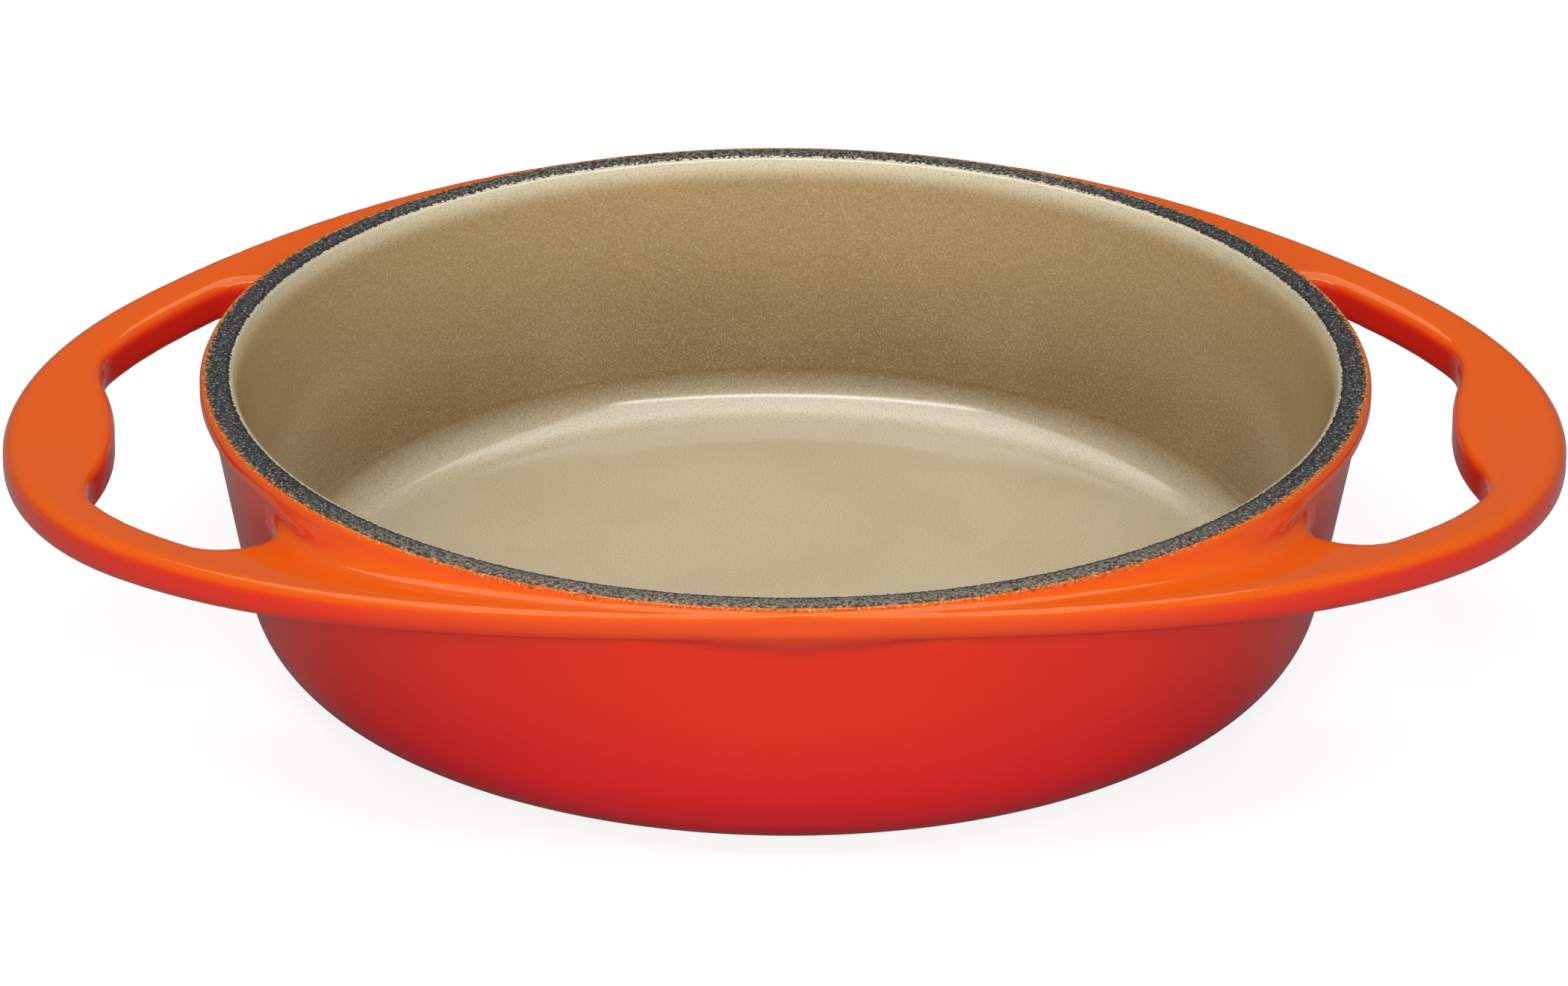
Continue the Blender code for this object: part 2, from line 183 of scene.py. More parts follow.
WALL_BY_HOLE = RIM_OUTER_RADIUS - (DISH_HEIGHT - PLATE_MIDDLE + HOLE_END_DROOP) * math.tan(OUTER_DRAFT)
HOLE_END_X, HOLE_END_Y = circles_meet(
    SIDE_CENTRE_X,
    SIDE_CENTRE_Y,
    SIDE_RADIUS - BAR_WIDTH - HOLE_END_RADIUS,
    0.0,
    0.0,
    WALL_BY_HOLE + HOLE_END_RADIUS,
)
HOLE_END_TURN = math.atan2(HOLE_END_Y - SIDE_CENTRE_Y, HOLE_END_X - SIDE_CENTRE_X)
HOLE_END_ANGLE = math.atan2(HOLE_END_Y, HOLE_END_X)


# Nodes: how sums, colours and other nodes are written


def set_input(tree, socket, value):
    """Link the socket to a node's output, or give it a number, a colour or another plain value."""
    if isinstance(value, Value):
        tree.links.new(value.socket, socket)
    elif isinstance(value, bpy.types.NodeSocket):
        tree.links.new(value, socket)
    else:
        socket.default_value = value


def add_node(tree, kind, settings=None, inputs=None):
    """Add a node, make its settings and then fill its sockets, named or numbered."""
    node = tree.nodes.new(kind)
    for name, setting in (settings or {}).items():
        setattr(node, name, setting)
    for name, value in (inputs or {}).items():
        set_input(tree, node.inputs[name], value)
    return node


class Value:
    """A number in a tree of nodes. A sum written with it adds the Math nodes that work it out."""

    def __init__(self, tree, socket):
        self.tree = tree
        self.socket = socket

    def math(self, operation, *numbers):
        node = add_node(self.tree, "ShaderNodeMath", {"operation": operation}, dict(enumerate(numbers)))
        return Value(self.tree, node.outputs[0])

    def __add__(self, other):
        return self.math("ADD", self, other)

    def __radd__(self, other):
        return self.math("ADD", other, self)

    def __sub__(self, other):
        return self.math("SUBTRACT", self, other)

    def __rsub__(self, other):
        return self.math("SUBTRACT", other, self)

    def __mul__(self, other):
        return self.math("MULTIPLY", self, other)

    def __rmul__(self, other):
        return self.math("MULTIPLY", other, self)

    def __truediv__(self, other):
        return self.math("DIVIDE", self, other)

    def __rtruediv__(self, other):
        return self.math("DIVIDE", other, self)

    def at_most(self, other):
        return self.math("MINIMUM", self, other)

    def at_least(self, other):
        return self.math("MAXIMUM", self, other)

    def between(self, low, high):
        return self.at_least(low).at_most(high)

    def whole(self):
        return self.math("FLOOR", self)

    def root(self):
        return self.math("SQRT", self)

    def sine(self):
        return self.math("SINE", self)

    def cosine(self):
        return self.math("COSINE", self)

    def rise(self, low, high):
        """0 below low, 1 above high and a smooth step between them."""
        inputs = {"Value": self, "From Min": low, "From Max": high}
        node = add_node(self.tree, "ShaderNodeMapRange", {"interpolation_type": "SMOOTHSTEP"}, inputs)
        return Value(self.tree, node.outputs["Result"])


def mixed(tree, share, first, second):
    """Colour between the first and the second, by a share from 0 to 1."""
    inputs = {0: share, 6: first, 7: second}
    return add_node(tree, "ShaderNodeMix", {"data_type": "RGBA"}, inputs).outputs[2]


def noise(tree, place, scale, detail=2.0, roughness=0.5, shift=0.0):
    """Cloudy noise round 0.5 with this many lumps to the metre."""
    inputs = {"Vector": place, "W": shift, "Scale": scale, "Detail": detail, "Roughness": roughness}
    node = add_node(tree, "ShaderNodeTexNoise", {"noise_dimensions": "4D"}, inputs)
    return Value(tree, node.outputs[0])


def coordinates(tree):
    """Place on the piece, and its X, Y and Z."""
    place = add_node(tree, "ShaderNodeTexCoord").outputs["Object"]
    parts = add_node(tree, "ShaderNodeSeparateXYZ", None, {0: place})
    return place, *(Value(tree, socket) for socket in parts.outputs)


# Outside of the dish: distances to its shape, and the skin laid over them


def rounded_meet(a, b, radius):
    """Distance to what two shapes share, with its outer edge rounded."""
    return np.minimum(-radius, np.maximum(a, b)) + np.hypot(
        np.maximum(a + radius, 0), np.maximum(b + radius, 0)
    )


def rounded_join(a, b, radius):
    """Distance to two shapes together, with a fillet where they meet."""
    return np.maximum(radius, np.minimum(a, b)) - np.hypot(
        np.maximum(radius - a, 0), np.maximum(radius - b, 0)
    )


def eased(share):
    """A share held between 0 and 1, with a slow start and a slow end."""
    share = np.clip(share, 0, 1)
    return share * share * (3 - 2 * share)


def sideways(x, y):
    """0 at the front and the back of the dish, growing to 1 on the line through the handles."""
    return np.abs(x) / np.maximum(np.hypot(x, y), LEAST_RADIUS)


def outline_distance(x, y):
    """Distance past the outline of the flange and the handles, for places with X and Y above 0."""
    turn = np.arctan2(y - SIDE_CENTRE_Y, x - SIDE_CENTRE_X)
    tip = np.hypot(x - TIP_CENTRE_X, y) - TIP_RADIUS
    side = np.hypot(x - SIDE_CENTRE_X, y - SIDE_CENTRE_Y) - SIDE_RADIUS
    return np.where(turn < ARC_CHANGE, tip, side)


def hole_distance(x, y):
    """Distance past the edge of the finger hole, less than 0 inside it."""
    turn = np.arctan2(y - SIDE_CENTRE_Y, x - SIDE_CENTRE_X)
    end = np.hypot(x - HOLE_END_X, y - HOLE_END_Y) - HOLE_END_RADIUS
    beyond = (turn > HOLE_END_TURN) & (np.arctan2(y, x) > HOLE_END_ANGLE)
    edge = np.where(beyond, end, outline_distance(x, y) + BAR_WIDTH)
    bulge = GRIP_BULGE_RADIUS - np.hypot(x - BULGE_CENTRE_X, y)
    return rounded_meet(edge, bulge, HOLE_CORNER_BLEND)


def plate_faces(x, y):
    """Heights of the plate's top and underside, which fall towards the tips of the handles."""
    share = sideways(x, y) ** DROOP_POWER
    top = DISH_HEIGHT - PLATE_TOP_DROP - HANDLE_DROOP * share
    return top, top - PLATE_THICKNESS - HANDLE_THICKENING * share


def plate_distance(x, y, z):
    """Distance to the flange and the handles, with the finger holes open and all edges rounded."""
    top, under = plate_faces(x, y)
    outline, hole = outline_distance(x, y), -hole_distance(x, y)
    share = sideways(x, y)
    outline = outline + (top - z) * math.tan(FRONT_EDGE_LEAN) * (1 - share)
    top_round = FRONT_TOP_ROUND + (TIP_TOP_ROUND - FRONT_TOP_ROUND) * share
    rounded = [
        rounded_meet(outline, z - top, top_round),
        rounded_meet(hole, z - top, HOLE_TOP_ROUND),
        rounded_meet(outline, under - z, PLATE_UNDER_ROUND),
        rounded_meet(hole, under - z, HOLE_UNDER_ROUND),
    ]
    return np.maximum.reduce(rounded)


def bowl_distance(x, y, z):
    """Distance to the bowl as a solid body: wall, rounded bottom corner, and the band under the rim."""
    radius = np.hypot(x, y)
    slope = RIM_OUTER_RADIUS + WALL_FULLNESS - (DISH_HEIGHT - z) * math.tan(OUTER_DRAFT)
    wall = (radius - slope) * math.cos(OUTER_DRAFT)
    across, up = radius - OUTER_CORNER_CENTRE, z - OUTER_CORNER_RADIUS
    turn = np.arctan2(up, across)
    corner = np.hypot(across, up) - OUTER_CORNER_RADIUS
    round_corner = (turn > -math.pi / 2) & (turn < -OUTER_DRAFT)
    body = np.where(round_corner, corner, np.maximum(wall, -z))
    body = np.maximum(body, z - DISH_HEIGHT)
    height = np.abs(z - DISH_HEIGHT + BAND_HEIGHT / 2) - BAND_HEIGHT / 2
    side = eased((sideways(x, y) - BAND_GROWTH_START) / BAND_GROWTH_RUN)
    standout = FRONT_BAND_STANDOUT + (BAND_STANDOUT - FRONT_BAND_STANDOUT) * side
    edge_round = FRONT_BAND_ROUND + (BAND_STANDOUT - FRONT_BAND_ROUND) * side
    band = rounded_meet(radius - RIM_OUTER_RADIUS - standout, height, edge_round)
    return rounded_join(body, band, BAND_FILLET)


def fillet_radius(x, y, z):
    """Fillet where plate and bowl meet: wide below the plate at the front, wide above it at the sides."""
    share = BAND_RADIUS / np.maximum(np.hypot(x, y), LEAST_RADIUS)
    width = -outline_distance(x * share, y * share)
    top, under = plate_faces(x, y)
    upper = np.clip(np.minimum(width / 2, DISH_HEIGHT - top), LEAST_TOP_FILLET, TOP_FILLET)
    lower = np.clip(UNDER_FILLET - UNDER_FILLET_FADE * width, LEAST_UNDER_FILLET, UNDER_FILLET)
    return lower + (upper - lower) * eased((z - under) / (top - under))


def outside_distance(x, y, z):
    """Distance to the whole dish from outside, worked out in one quarter and mirrored."""
    x, y = np.abs(x), np.abs(y)
    bowl = bowl_distance(x, y, z)
    plate = plate_distance(x, y, z)
    return np.maximum(rounded_join(bowl, plate, fillet_radius(x, y, z)), z - DISH_HEIGHT)


def skin_of(distance, radii, heights):
    """Points and quads along the surface where a distance is 0, from a grid that turns about Z."""
    turns = np.arange(SKIN_TURNS) * 2 * math.pi / SKIN_TURNS
    t, r, z = np.meshgrid(turns, radii, heights, indexing="ij")
    values = distance(r * np.cos(t), r * np.sin(t), z)
    points, number = skin_points(values, radii, heights)
    return settle(distance, points), skin_quads(values < 0, number)


def skin_points(values, radii, heights):
    """A point in each cell of the grid that the surface passes through, and which point each cell holds."""
    wrapped = np.concatenate([values, values[:1]])
    total = np.zeros((SKIN_TURNS, len(radii) - 1, len(heights) - 1, 3))
    count = np.zeros(total.shape[:3])
    corners = [(i, j, k) for i in (0, 1) for j in (0, 1) for k in (0, 1)]
    part = {
        (i, j, k): wrapped[i : i + SKIN_TURNS, j : j + len(radii) - 1, k : k + len(heights) - 1]
        for i, j, k in corners
    }
    for first in corners:
        for axis in range(3):
            if first[axis]:
                continue
            second = tuple(1 if n == axis else first[n] for n in range(3))
            a, b = part[first], part[second]
            crossing = (a < 0) != (b < 0)
            share = np.where(crossing, a / np.where(crossing, a - b, 1), 0)
            for n in range(3):
                place = share if n == axis else float(first[n])
                total[..., n] += np.where(crossing, place, 0)
            count += crossing
    active = count > 0
    cells = np.argwhere(active)
    local = total[active] / count[active][:, None] + cells
    number = np.full(active.shape, -1)
    number[active] = np.arange(len(cells))
    turn = local[:, 0] * 2 * math.pi / SKIN_TURNS
    radius = np.interp(local[:, 1], np.arange(len(radii)), radii)
    height = np.interp(local[:, 2], np.arange(len(heights)), heights)
    return np.stack([radius * np.cos(turn), radius * np.sin(turn), height], axis=1), number


def skin_quads(inside, number):
    """A quad across each line of the grid that passes through the surface, turned to face outwards."""
    pairs = [
        (inside, np.roll(inside, -1, axis=0)),
        (inside[:, :-1, :], inside[:, 1:, :]),
        (inside[:, :, :-1], inside[:, :, 1:]),
    ]
    quads = []
    for axis, (here, there) in enumerate(pairs):
        i, j, k = np.nonzero(here != there)
        keep = np.ones(len(i), bool)
        if axis != 1:
            keep &= (j > 0) & (j < inside.shape[1] - 1)
        if axis != 2:
            keep &= (k > 0) & (k < inside.shape[2] - 1)
        i, j, k = i[keep], j[keep], k[keep]
        before = (i - 1) % SKIN_TURNS
        if axis == 0:
            around = [(i, j - 1, k - 1), (i, j, k - 1), (i, j, k), (i, j - 1, k)]
        elif axis == 1:
            around = [(before, j, k - 1), (before, j, k), (i, j, k), (i, j, k - 1)]
        else:
            around = [(before, j - 1, k), (i, j - 1, k), (i, j, k), (before, j, k)]
        faces = np.stack([number[cell] for cell in around], axis=1)
        leaving = here[i, j, k]
        faces[leaving] = faces[leaving][:, ::-1]
        quads.append(faces)
    faces = np.concatenate(quads)
    return faces[(faces >= 0).all(axis=1)]


def slope_of(distance, points):
    """How fast the distance grows along X, Y and Z at each point."""
    slope = np.zeros_like(points)
    for axis in range(3):
        move = np.zeros(3)
        move[axis] = SLOPE_STEP
        slope[:, axis] = (distance(*(points + move).T) - distance(*(points - move).T)) / (2 * SLOPE_STEP)
    return slope


def settle(distance, points):
    """Move points along the slope of the distance until they lie on the surface."""
    for _ in range(SETTLING_ROUNDS):
        slope = slope_of(distance, points)
        steepness = np.maximum((slope * slope).sum(axis=1), LEAST_SLOPE)
        step = distance(*points.T) / steepness
        points = points - np.clip(step, -MILLIMETRE, MILLIMETRE)[:, None] * slope
    return points


# Pieces


def place_piece(name, mesh, surface):
    """Put a mesh in the scene, smooth and with its finish."""
    mesh.name = name
    mesh.shade_smooth()
    mesh.materials.clear()
    mesh.materials.append(surface)
    piece = bpy.data.objects.new(name, mesh)
    bpy.context.collection.objects.link(piece)
    return piece


def give_thickness(piece):
    """Make a skin into a closed coat, with a second face one coat's thickness below the first."""
    modifier = piece.modifiers.new("coat", "SOLIDIFY")
    modifier.thickness = COAT
    modifier.offset = -1.0
    return bake(piece)


def bake(piece):
    """Turn the piece's modifiers into plain mesh."""
    depsgraph = bpy.context.evaluated_depsgraph_get()
    mesh = bpy.data.meshes.new_from_object(piece.evaluated_get(depsgraph))
    piece.modifiers.clear()
    piece.data = mesh
    mesh.name = piece.name
    mesh.shade_smooth()
    return piece


def outside_coat(surface):
    """Orange coat from the seam at the base, up the wall and over the flange and handles, to the rim."""
    margin = MARGIN_STEPS * RADIAL_STEP
    radii = np.arange(BASE_SEAM_RADIUS - margin, HANDLE_TIP + margin, RADIAL_STEP)
    lower = np.arange(-LOW_MARGIN_STEPS * LOW_STEP, OUTER_CORNER_RADIUS, LOW_STEP)
    wall = np.arange(OUTER_CORNER_RADIUS, FINE_GRID_LOW, WALL_STEP)
    upper = np.arange(FINE_GRID_LOW, DISH_HEIGHT + MARGIN_STEPS * UPPER_STEP, UPPER_STEP)
    points, faces = skin_of(outside_distance, radii, np.concatenate([lower, wall, upper]))
    middle = points[faces].mean(axis=1)
    radius = np.hypot(middle[:, 0], middle[:, 1])
    under_rim = (middle[:, 2] > DISH_HEIGHT - BAND_STANDOUT / 2) & (radius < RIM_OUTER_RADIUS - RIM_OVERLAP)
    under_base = (middle[:, 2] < LOW_STEP) & (radius < BASE_SEAM_RADIUS)
    faces = faces[~under_rim & ~under_base]
    used, numbers = np.unique(faces, return_inverse=True)
    mesh = bpy.data.meshes.new("outside_coat")
    mesh.from_pydata(points[used].tolist(), [], numbers.reshape(faces.shape).tolist())
    mesh.validate()
    return give_thickness(place_piece("outside_coat", mesh, surface))


class Stretch:
    """Part of a profile, walked in equal steps that each make a row of the mesh.

    It runs straight for its size, or turns from one heading to another on an arc with its size as radius.
    """

    def __init__(self, name, size, rows, start, end=None):
        self.name = name
        self.size = size
        self.rows = rows
        self.start = start
        self.end = start if end is None else end


def walked(row, stretch, size, before):
    """How far one stretch leads along the radius and up, for a row of the mesh."""
    share = (row - before).between(0, stretch.rows) / stretch.rows
    if stretch.end == stretch.start:
        return share * size * math.cos(stretch.start), share * size * math.sin(stretch.start)
    turn = share * (stretch.end - stretch.start) + stretch.start
    side = math.copysign(1.0, stretch.end - stretch.start)
    across = (turn.sine() - math.sin(stretch.start)) * size * side
    up = (math.cos(stretch.start) - turn.cosine()) * size * side
    return across, up


def turned_tree(name, sizes, stretches, turns, grainy, surface):
    """Nodes that turn a walked profile about Z, with a named input for each size on the way."""
    tree = bpy.data.node_groups.new(name, "GeometryNodeTree")
    for label in sizes:
        tree.interface.new_socket(name=label, in_out="INPUT", socket_type="NodeSocketFloat")
    tree.interface.new_socket(name="Geometry", in_out="OUTPUT", socket_type="NodeSocketGeometry")
    given = add_node(tree, "NodeGroupInput")
    size = {label: Value(tree, given.outputs[label]) for label in sizes}
    rows = sum(stretch.rows for stretch in stretches)
    grid = add_node(tree, "GeometryNodeMeshGrid", None, {"Vertices X": rows + 1, "Vertices Y": turns + 1})
    index = Value(tree, add_node(tree, "GeometryNodeInputIndex").outputs[0])
    row = ((index + 0.5) / (turns + 1)).whole()
    angle = (index - row * (turns + 1)) * (2 * math.pi / turns)
    radius, height, before = size["start radius"], size["start height"], 0
    for stretch in stretches:
        across, up = walked(row, stretch, size[stretch.name], before)
        radius, height, before = radius + across, height + up, before + stretch.rows
    x, y = radius * angle.cosine(), radius * angle.sine()
    if grainy:
        flat = add_node(tree, "ShaderNodeCombineXYZ", None, {0: x, 1: y}).outputs[0]
        coarse = noise(tree, flat, COARSE_GRAINS, detail=3.0, shift=1.7)
        grains = coarse + noise(tree, flat, FINE_GRAINS, shift=4.1) * FINE_GRAIN_SHARE
        average = (1 + FINE_GRAIN_SHARE) / 2
        on_top = (row - 0.5).between(0, 1) * (stretches[0].rows - row).between(0, 1)
        height = height + (grains - average) * 2.0 * on_top * size["grain height"]
    place = add_node(tree, "ShaderNodeCombineXYZ", None, {0: x, 1: y, 2: height}).outputs[0]
    shape = grid.outputs["Mesh"]
    closing = [
        ("GeometryNodeSetPosition", {"Position": place}),
        ("GeometryNodeMergeByDistance", {"Distance": MERGE_DISTANCE}),
        ("GeometryNodeRealizeInstances", {}),
        ("GeometryNodeSetMaterial", {"Material": surface}),
    ]
    for kind, inputs in closing:
        shape = add_node(tree, kind, None, {"Geometry": shape, **inputs}).outputs[0]
    add_node(tree, "NodeGroupOutput", None, {"Geometry": shape})
    return tree


def turned_coat(name, stretches, start, surface, turns=COAT_TURNS, grain=0.0):
    """A piece turned about Z along a profile that is walked from its start."""
    sizes = {"start radius": start[0], "start height": start[1], "grain height": grain}
    sizes.update({stretch.name: stretch.size for stretch in stretches})
    tree = turned_tree(name, sizes, stretches, turns, grain > 0, surface)
    piece = place_piece(name, bpy.data.meshes.new(name), surface)
    modifier = piece.modifiers.new(name, "NODES")
    modifier.node_group = tree
    for socket in tree.interface.items_tree:
        if socket.name in sizes:
            modifier[socket.identifier] = float(sizes[socket.name])
    return bake(piece)


def inside_coat(surface):
    """Sand coat over the floor, up the inside wall and out to the lip."""
    upright = math.pi / 2 - INNER_DRAFT
    flared = upright - FLARE_TURN
    corner_height = INNER_CORNER_RADIUS * (1 - math.cos(upright))
    flare_height = FLARE_RADIUS * (math.cos(flared) - math.cos(upright))
    lip_height = LIP_RADIUS * (1 - math.cos(flared))
    wall_height = DISH_HEIGHT - FLOOR_THICKNESS - corner_height - flare_height - lip_height
    wall = wall_height / math.sin(upright)
    bends = INNER_CORNER_RADIUS * math.sin(upright) + FLARE_RADIUS * (math.sin(upright) - math.sin(flared))
    bends += LIP_RADIUS * math.sin(flared)
    floor = RIM_INNER_RADIUS - bends - wall * math.cos(upright)
    profile = [
        Stretch("floor radius", floor, FLOOR_ROWS, 0.0),
        Stretch("corner radius", INNER_CORNER_RADIUS, CORNER_ROWS, 0.0, upright),
        Stretch("wall run", wall, WALL_ROWS, upright),
        Stretch("flare radius", FLARE_RADIUS, FLARE_ROWS, upright, flared),
        Stretch("lip radius", LIP_RADIUS, LIP_ROWS, flared, 0.0),
    ]
    return give_thickness(turned_coat("inside_coat", profile, (0.0, FLOOR_THICKNESS), surface))


def rim_coat(surface):
    """Bare, grainy band on top of the rim, slightly crowned, with a flat underside."""
    inner = RIM_INNER_RADIUS - RIM_OVERLAP / 2
    width = RIM_OUTER_RADIUS + RIM_OVERLAP - inner
    crown = width / (2 * math.sin(RIM_CROWN_SLOPE))
    profile = [
        Stretch("crown radius", crown, CROWN_ROWS, RIM_CROWN_SLOPE, -RIM_CROWN_SLOPE),
        Stretch("outer depth", COAT, 1, -math.pi / 2),
        Stretch("underside width", width, 1, math.pi),
        Stretch("inner depth", COAT, 1, math.pi / 2),
    ]
    start = (inner, DISH_HEIGHT - RIM_EDGE_DROP)
    return turned_coat("rim_coat", profile, start, surface, RIM_TURNS, GRAIN_HEIGHT)


def underside_coat(surface):
    """Dark coat from the seam at the bottom corner, over the foot ring and the recess inside it."""
    foot_inner = OUTER_CORNER_CENTRE - FOOT_WIDTH
    slope_end = foot_inner - FOOT_SLOPE_WIDTH
    slope = math.atan2(FOOT_HEIGHT, FOOT_SLOPE_WIDTH)
    lift = math.asin(BASE_SEAM_REACH / OUTER_CORNER_RADIUS)
    profile = [
        Stretch("corner radius", OUTER_CORNER_RADIUS, UNDER_CORNER_ROWS, math.pi + lift, math.pi),
        Stretch("foot width", FOOT_WIDTH, FOOT_ROWS, math.pi),
        Stretch("slope run", math.hypot(FOOT_HEIGHT, FOOT_SLOPE_WIDTH), FOOT_ROWS, math.pi - slope),
        Stretch("recess radius", slope_end, RECESS_ROWS, math.pi),
    ]
    start = (BASE_SEAM_RADIUS, OUTER_CORNER_RADIUS * (1 - math.cos(lift)))
    return give_thickness(turned_coat("underside_coat", profile, start, surface))


# Finishes


def finish(name, colour, roughness, metallic=0.0, coat=0.0, coat_roughness=0.05, specular=0.5):
    """A material with one shader, returned with its tree and the shader, ready for its pattern."""
    made = bpy.data.materials.new(name)
    made.use_nodes = True
    tree = made.node_tree
    shader = tree.nodes["Principled BSDF"]
    plain = {
        "Base Color": (*colour, 1.0),
        "Roughness": roughness,
        "Metallic": metallic,
        "Coat Weight": coat,
        "Coat Roughness": coat_roughness,
        "Specular IOR Level": specular,
    }
    for label, value in plain.items():
        shader.inputs[label].default_value = value
    return made, tree, shader


def seen(red, green, blue):
    """A colour as a screen shows it, from 0 to 255, turned by the sRGB curve into amounts of light."""
    return tuple(
        (c / 255 / 12.92) if c <= 10 else ((c / 255 + 0.055) / 1.055) ** 2.4 for c in (red, green, blue)
    )


def solid(red, green, blue):
    """The same colour with no see-through, as colour sockets take it."""
    return (*seen(red, green, blue), 1.0)


def radius_of(x, y):
    """Distance from the middle line of the dish."""
    return (x * x + y * y).root()


def dress(tree, shader, colour, roughness, height, depth):
    """Give the shader its patterns: colour, roughness and a height that stands out by a depth."""
    bump = add_node(tree, "ShaderNodeBump", None, {"Height": height, "Strength": 1.0, "Distance": depth})
    patterns = {"Base Color": colour, "Roughness": roughness, "Normal": bump.outputs[0]}
    for label, value in patterns.items():
        set_input(tree, shader.inputs[label], value)


def orange_gloss_enamel():
    """Flame colour, crimson low down and red on the edges; orange on what faces up is painted light, and
    crimson underneath is painted shade.
    """
    made, tree, shader = finish("orange gloss enamel", seen(232, 90, 30), 0.12, specular=0.55)
    shader.inputs["Specular Tint"].default_value = (0.6, 1.0, 0.66, 1.0)
    place, x, y, z = coordinates(tree)
    normal = add_node(tree, "ShaderNodeNewGeometry").outputs["Normal"]
    facing = Value(tree, add_node(tree, "ShaderNodeSeparateXYZ", None, {0: normal}).outputs[2])
    cloud = noise(tree, place, 45.0, detail=3.0, shift=0.6)
    uneven = (cloud - 0.5) * 0.12
    crimson, red, scarlet = solid(214, 12, 36), solid(237, 44, 30), solid(240, 88, 34)
    colour = mixed(tree, (z / (40 * MILLIMETRE) + uneven).rise(0.0, 1.0), crimson, red)
    upper = (z + uneven * (10 * MILLIMETRE)).rise(50 * MILLIMETRE, 62 * MILLIMETRE)
    colour = mixed(tree, upper, colour, scarlet)
    # Painted light: faces turned up are made a lighter orange
    colour = mixed(tree, (facing + uneven).rise(0.10, 0.80), colour, solid(236, 94, 10))
    # Painted shade: faces turned down are made a darker crimson
    colour = mixed(tree, (uneven - facing).rise(0.70, 0.98), colour, solid(204, 24, 30))
    ragged = (noise(tree, place, 1100.0, detail=3.0, shift=2.2) - 0.5) * 2.4 * MILLIMETRE
    beside = radius_of(x, y) - RIM_OUTER_RADIUS + ragged
    on_top = z.rise(DISH_HEIGHT - 1.6 * MILLIMETRE, DISH_HEIGHT - 0.6 * MILLIMETRE)
    near_rim = (1 - beside.rise(0.2 * MILLIMETRE, 1.1 * MILLIMETRE)) * on_top
    patchy = noise(tree, place, 1700.0, shift=5.0).rise(0.42, 0.62)
    thin = mixed(tree, patchy, solid(104, 54, 24), solid(234, 166, 92))
    colour = mixed(tree, near_rim * 0.85, colour, thin)
    grain = noise(tree, place, 2600.0, detail=2.0, shift=3.3)
    colour = mixed(tree, grain.rise(0.3, 0.7) * 0.10, colour, (0.25, 0.02, 0.01, 1.0))
    waves = noise(tree, place, 260.0, detail=1.0, shift=1.1)
    dress(tree, shader, colour, cloud * 0.04 + near_rim * 0.30 + 0.04, waves, 0.006 * MILLIMETRE)
    return made


def sand_satin_enamel():
    """Speckled sand enamel under a clear gloss, with painted light and shade: paler on the floor and
    towards the rim, darker low on the wall.
    """
    sand = seen(190, 172, 138)
    made, tree, shader = finish("sand satin enamel", sand, 0.35, coat=1.0, coat_roughness=0.13)
    shader.inputs["Coat IOR"].default_value = 1.85
    place, _, y, z = coordinates(tree)
    cloud = noise(tree, place, 30.0, detail=3.0, shift=0.3)
    # Painted light and shade: the floor is painted pale, the low wall dark and the upper wall lighter again
    above_floor = z.rise(5.5 * MILLIMETRE, 15 * MILLIMETRE)
    colour = mixed(tree, above_floor, solid(214, 198, 166), solid(128, 102, 60))
    colour = mixed(tree, z.rise(16 * MILLIMETRE, 50 * MILLIMETRE), colour, solid(166, 142, 101))
    colour = mixed(tree, cloud.rise(0.35, 0.75) * 0.22, colour, solid(176, 150, 106))
    # Painted light: a paler band at the lip, strongest at the back
    lip = z.rise(DISH_HEIGHT - 6.0 * MILLIMETRE, DISH_HEIGHT - 0.4 * MILLIMETRE)
    tan = noise(tree, place, 75.0, detail=3.0, shift=7.0).rise(0.42, 0.70)
    band = z.rise(DISH_HEIGHT - 14 * MILLIMETRE, DISH_HEIGHT - 7 * MILLIMETRE) * (1 - lip)
    colour = mixed(tree, band * tan * 0.5, colour, solid(186, 148, 98))
    back = y.rise(20 * MILLIMETRE, 100 * MILLIMETRE)
    colour = mixed(tree, lip * (back * 0.4 + 0.6), colour, solid(218, 205, 174))
    speckle = noise(tree, place, 2600.0, detail=2.0, shift=1.9)
    colour = mixed(tree, speckle.rise(0.50, 0.66) * 0.40, colour, solid(120, 98, 64))
    colour = mixed(tree, (1 - speckle.rise(0.34, 0.50)) * 0.28, colour, solid(224, 208, 170))
    ripple = noise(tree, place, 120.0, detail=2.0, shift=4.4)
    dress(tree, shader, colour, speckle * 0.10 + 0.30, ripple + speckle * 0.05, 0.010 * MILLIMETRE)
    return made


